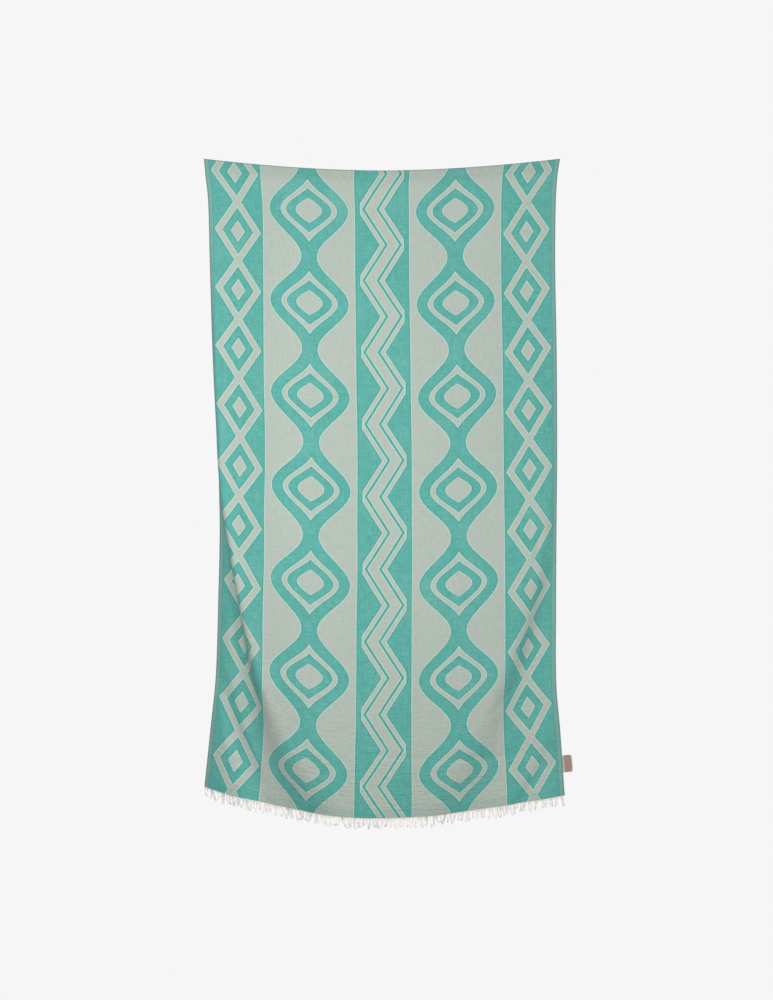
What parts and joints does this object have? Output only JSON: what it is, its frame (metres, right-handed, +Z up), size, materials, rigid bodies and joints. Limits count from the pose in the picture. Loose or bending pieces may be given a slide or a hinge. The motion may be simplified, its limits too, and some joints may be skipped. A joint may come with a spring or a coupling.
{
  "type": "hanging beach towel",
  "caption": "Flat-woven two-colour beach towel with lengthwise bands of ogees, lozenges and zigzags and a fringed lower end, hanging by its top corners.",
  "frame": {"origin": "middle of the top edge, where the towel is held up", "axes": "+Z up along the length of the hanging cloth, +X to the right across it, and the face of the cloth looks along -Y"},
  "size_m": [1.0341, 0.0954, 1.8743],
  "materials": {
    "towel_cloth": "teal and grey-green double-woven cotton",
    "fringe_bottom": "undyed cotton ends",
    "side_label": "plain woven ribbon"
  },
  "bodies": {
    "root": {"towel_cloth": "towel_cloth", "fringe_bottom": "fringe_bottom", "side_label": "side_label"}
  },
  "joints": []
}
